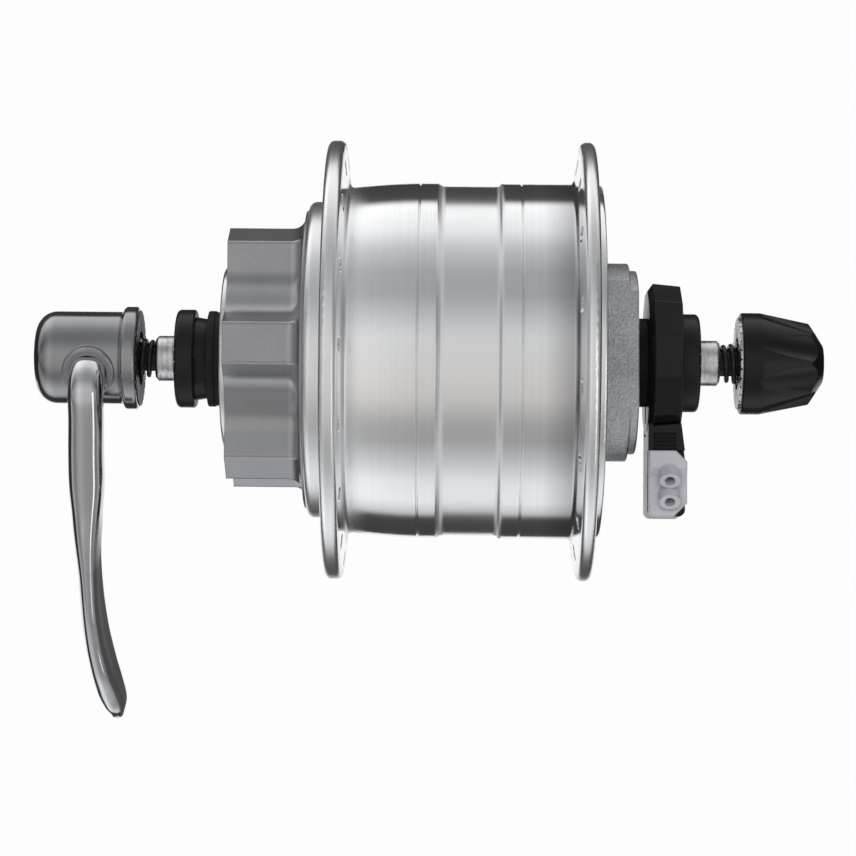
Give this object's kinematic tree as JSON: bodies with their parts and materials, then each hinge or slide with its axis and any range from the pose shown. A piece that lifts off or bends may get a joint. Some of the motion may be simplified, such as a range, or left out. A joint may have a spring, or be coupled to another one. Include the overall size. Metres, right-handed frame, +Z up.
{
  "type": "hub dynamo",
  "caption": "Front wheel hub dynamo with disc rotor mount, quick release lever, two-pole terminal block and plug.",
  "frame": {"origin": "on the axle, midway between the two locknut faces", "axes": "+Y along the axle to the brake disc side, +Z up, and -X to the front where the lever's elbow is"},
  "size_m": [0.084, 0.1508, 0.1126],
  "materials": {
    "axle_steel": "bright steel, a little mottled",
    "black_steel": "black, satin",
    "bearing_steel": "ground",
    "black_rubber": "matte",
    "black_plastic": "satin moulded",
    "contact_metal": "plain",
    "wire_insulation": "smooth",
    "yoke_steel": "pressed, grey",
    "bobbin_plastic": "moulded",
    "winding_copper": "enamelled copper",
    "plated_steel": "zinc plated",
    "polished_alloy": "polished to satin",
    "cast_alloy": "matte grey casting",
    "rough_alloy": "rough light casting with a machined end",
    "magnet": "ferrite",
    "spring_steel": "black wire",
    "housing_alloy": "satin",
    "lever_chrome": "bright",
    "nut_plastic": "satin moulded",
    "grey_plastic": "grey with a faint violet cast"
  },
  "bodies": {
    "axle": {"axle": "axle_steel", "disc_side_locknut": "black_steel", "terminal_side_locknut": "black_steel", "disc_side_cone": "black_steel", "terminal_side_cone": "bearing_steel", "disc_side_seal": "black_rubber", "terminal_side_seal": "black_rubber", "terminal_block": "black_plastic", "live_contact": "contact_metal", "earth_contact": "contact_metal", "lead_wire": "wire_insulation", "stator_core": "yoke_steel", "coil_bobbin": "bobbin_plastic", "coil_winding": "winding_copper", "disc_side_claw_yoke": "yoke_steel", "terminal_side_claw_yoke": "yoke_steel", "stator_washers": "plated_steel", "stator_nuts": "plated_steel"},
    "hub": {"hub_shell": "polished_alloy", "rotor_mount": "cast_alloy", "end_cover": "rough_alloy", "cover_gasket": "black_rubber", "back_ring": "yoke_steel", "rotor_magnets": "magnet", "disc_side_cup": "bearing_steel", "terminal_side_cup": "bearing_steel", "disc_side_dust_cap": "plated_steel", "terminal_side_dust_cap": "plated_steel"},
    "disc_side_bearing": {"disc_side_balls": "bearing_steel", "disc_side_cage": "plated_steel"},
    "terminal_side_bearing": {"terminal_side_balls": "bearing_steel", "terminal_side_cage": "plated_steel"},
    "skewer": {"skewer_rod": "black_steel", "lever_spring": "spring_steel"},
    "housing": {"lever_housing": "housing_alloy", "grip_ring": "black_steel"},
    "lever": {"cam_lever": "lever_chrome", "cam_end_cap": "housing_alloy"},
    "nut_carriage": {"nut_spring": "spring_steel"},
    "nut": {"adjusting_nut": "nut_plastic", "nut_insert": "plated_steel"},
    "plug": {"plug_cap": "black_plastic", "plug_cover": "grey_plastic", "plug_contacts": "contact_metal"}
  },
  "joints": [
    {"name": "hub_spin", "type": "hinge", "parent": "axle", "child": "hub", "pos_m": [0, 0, 0], "axis": [0, 1, 0], "continuous": true},
    {"name": "disc_side_cage_spin", "type": "hinge", "parent": "axle", "child": "disc_side_bearing", "pos_m": [0, 0.034, 0], "axis": [0, 1, 0], "continuous": true},
    {"name": "terminal_side_cage_spin", "type": "hinge", "parent": "axle", "child": "terminal_side_bearing", "pos_m": [0, -0.032, 0], "axis": [0, 1, 0], "continuous": true},
    {"name": "skewer_turn", "type": "hinge", "parent": "axle", "child": "skewer", "pos_m": [0, 0, 0], "axis": [0, 1, 0], "continuous": true},
    {"name": "housing_slide", "type": "slide", "parent": "skewer", "child": "housing", "axis": [0, 1, 0], "range_m": [0, 0.0013], "deforming": ["lever_spring"]},
    {"name": "lever_pivot", "type": "hinge", "parent": "housing", "child": "lever", "pos_m": [0, 0.0662, 0], "axis": [1, 0, 0], "range_deg": [0, 180]},
    {"name": "nut_travel", "type": "slide", "parent": "skewer", "child": "nut_carriage", "axis": [0, 1, 0], "range_m": [-0.00321, 0.00241], "deforming": ["nut_spring"]},
    {"name": "nut_turn", "type": "hinge", "parent": "nut_carriage", "child": "nut", "pos_m": [0, -0.0636, 0], "axis": [0, 1, 0], "range_deg": [-1440, 1080]},
    {"name": "plug_pull", "type": "slide", "parent": "axle", "child": "plug", "axis": [-0.4067, 0, -0.9135], "range_m": [0, 0.014]}
  ],
  "couplings": [
    {"joint": "disc_side_cage_spin", "follows": "hub_spin", "ratio": 0.599},
    {"joint": "terminal_side_cage_spin", "follows": "hub_spin", "ratio": 0.599},
    {"joint": "housing_slide", "follows": "lever_pivot", "m_per_rad": 0.00041376},
    {"joint": "nut_travel", "follows": "nut_turn", "m_per_rad": 0.00012732}
  ]
}
